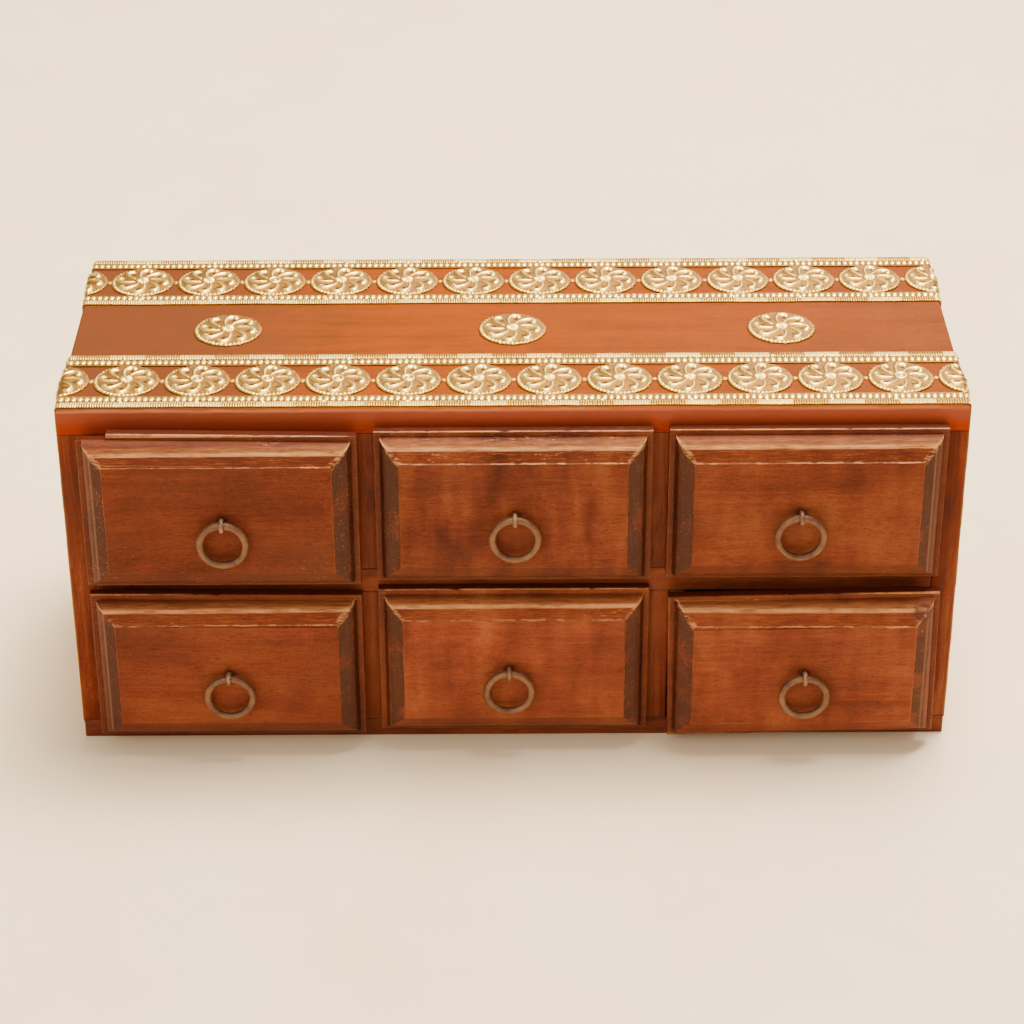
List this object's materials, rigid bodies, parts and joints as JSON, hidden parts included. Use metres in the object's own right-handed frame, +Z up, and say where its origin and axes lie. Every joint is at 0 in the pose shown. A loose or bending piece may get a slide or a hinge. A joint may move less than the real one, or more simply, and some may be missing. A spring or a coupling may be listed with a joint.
{
  "type": "small chest of drawers",
  "caption": "Small wooden drawer chest for paints and craft supplies, with pierced brass bands over its top and a ring pull on each moulded front.",
  "frame": {"origin": "on the floor under the middle of the case, without the drawer fronts", "axes": "+X to the right, -Y out of the drawer fronts, +Z up"},
  "size_m": [0.3076, 0.1336, 0.1338],
  "materials": {
    "case_wood": "satin varnish over reddish brown hardwood, worn at the edges",
    "front_wood": "satin varnish over dark reddish hardwood, rubbed along the mouldings",
    "drawer_wood": "plain sawn and planed wood without varnish",
    "embossed_brass": "embossed sheet brass, bright on its high spots and dull in its hollows",
    "ring_metal": "aged brass with a dull brown patina",
    "pin_metal": "aged brass, rubbed bright at the eye"
  },
  "bodies": {
    "case": {"top_board": "case_wood", "bottom_board": "case_wood", "left_side": "case_wood", "right_side": "case_wood", "back_panel": "case_wood", "shelf": "case_wood", "upper_left_divider": "case_wood", "upper_right_divider": "case_wood", "lower_left_divider": "case_wood", "lower_right_divider": "case_wood", "front_brass_band": "embossed_brass", "rear_brass_band": "embossed_brass", "left_medallion": "embossed_brass", "middle_medallion": "embossed_brass", "right_medallion": "embossed_brass"},
    "upper_left_drawer": {"upper_left_drawer_front": "front_wood", "upper_left_drawer_bottom": "drawer_wood", "upper_left_drawer_left_side": "drawer_wood", "upper_left_drawer_right_side": "drawer_wood", "upper_left_drawer_back": "drawer_wood", "upper_left_drawer_pin": "pin_metal"},
    "upper_left_drawer_ring": {"upper_left_drawer_ring": "ring_metal"},
    "upper_middle_drawer": {"upper_middle_drawer_front": "front_wood", "upper_middle_drawer_bottom": "drawer_wood", "upper_middle_drawer_left_side": "drawer_wood", "upper_middle_drawer_right_side": "drawer_wood", "upper_middle_drawer_back": "drawer_wood", "upper_middle_drawer_pin": "pin_metal"},
    "upper_middle_drawer_ring": {"upper_middle_drawer_ring": "ring_metal"},
    "upper_right_drawer": {"upper_right_drawer_front": "front_wood", "upper_right_drawer_bottom": "drawer_wood", "upper_right_drawer_left_side": "drawer_wood", "upper_right_drawer_right_side": "drawer_wood", "upper_right_drawer_back": "drawer_wood", "upper_right_drawer_pin": "pin_metal"},
    "upper_right_drawer_ring": {"upper_right_drawer_ring": "ring_metal"},
    "lower_left_drawer": {"lower_left_drawer_front": "front_wood", "lower_left_drawer_bottom": "drawer_wood", "lower_left_drawer_left_side": "drawer_wood", "lower_left_drawer_right_side": "drawer_wood", "lower_left_drawer_back": "drawer_wood", "lower_left_drawer_pin": "pin_metal"},
    "lower_left_drawer_ring": {"lower_left_drawer_ring": "ring_metal"},
    "lower_middle_drawer": {"lower_middle_drawer_front": "front_wood", "lower_middle_drawer_bottom": "drawer_wood", "lower_middle_drawer_left_side": "drawer_wood", "lower_middle_drawer_right_side": "drawer_wood", "lower_middle_drawer_back": "drawer_wood", "lower_middle_drawer_pin": "pin_metal"},
    "lower_middle_drawer_ring": {"lower_middle_drawer_ring": "ring_metal"},
    "lower_right_drawer": {"lower_right_drawer_front": "front_wood", "lower_right_drawer_bottom": "drawer_wood", "lower_right_drawer_left_side": "drawer_wood", "lower_right_drawer_right_side": "drawer_wood", "lower_right_drawer_back": "drawer_wood", "lower_right_drawer_pin": "pin_metal"},
    "lower_right_drawer_ring": {"lower_right_drawer_ring": "ring_metal"}
  },
  "joints": [
    {"name": "upper_left_drawer_slide", "type": "slide", "parent": "case", "child": "upper_left_drawer", "axis": [0, -1, 0], "range_m": [-0.004, 0.08]},
    {"name": "upper_left_drawer_ring_hinge", "type": "hinge", "parent": "upper_left_drawer", "child": "upper_left_drawer_ring", "pos_m": [-0.09773, -0.07365, 0.09728], "axis": [-1, 0, 0], "range_deg": [-4, 172]},
    {"name": "upper_middle_drawer_slide", "type": "slide", "parent": "case", "child": "upper_middle_drawer", "axis": [0, -1, 0], "range_m": [-0.0013, 0.08]},
    {"name": "upper_middle_drawer_ring_hinge", "type": "hinge", "parent": "upper_middle_drawer", "child": "upper_middle_drawer_ring", "pos_m": [0.0005, -0.07095, 0.09728], "axis": [-1, 0, 0], "range_deg": [-4, 172]},
    {"name": "upper_right_drawer_slide", "type": "slide", "parent": "case", "child": "upper_right_drawer", "axis": [0, -1, 0], "range_m": [-0.0008, 0.08]},
    {"name": "upper_right_drawer_ring_hinge", "type": "hinge", "parent": "upper_right_drawer", "child": "upper_right_drawer_ring", "pos_m": [0.09663, -0.07045, 0.09728], "axis": [-1, 0, 0], "range_deg": [-4, 172]},
    {"name": "lower_left_drawer_slide", "type": "slide", "parent": "case", "child": "lower_left_drawer", "axis": [0, -1, 0], "range_m": [-0.0028, 0.08]},
    {"name": "lower_left_drawer_ring_hinge", "type": "hinge", "parent": "lower_left_drawer", "child": "lower_left_drawer_ring", "pos_m": [-0.09853, -0.07245, 0.03472], "axis": [-1, 0, 0], "range_deg": [-4, 172]},
    {"name": "lower_middle_drawer_slide", "type": "slide", "parent": "case", "child": "lower_middle_drawer", "axis": [0, -1, 0], "range_m": [-0.0005, 0.08]},
    {"name": "lower_middle_drawer_ring_hinge", "type": "hinge", "parent": "lower_middle_drawer", "child": "lower_middle_drawer_ring", "pos_m": [-0.0017, -0.07015, 0.03472], "axis": [-1, 0, 0], "range_deg": [-4, 172]},
    {"name": "lower_right_drawer_slide", "type": "slide", "parent": "case", "child": "lower_right_drawer", "axis": [0, -1, 0], "range_m": [-0.0044, 0.08]},
    {"name": "lower_right_drawer_ring_hinge", "type": "hinge", "parent": "lower_right_drawer", "child": "lower_right_drawer_ring", "pos_m": [0.10043, -0.07405, 0.03472], "axis": [-1, 0, 0], "range_deg": [-4, 172]}
  ]
}
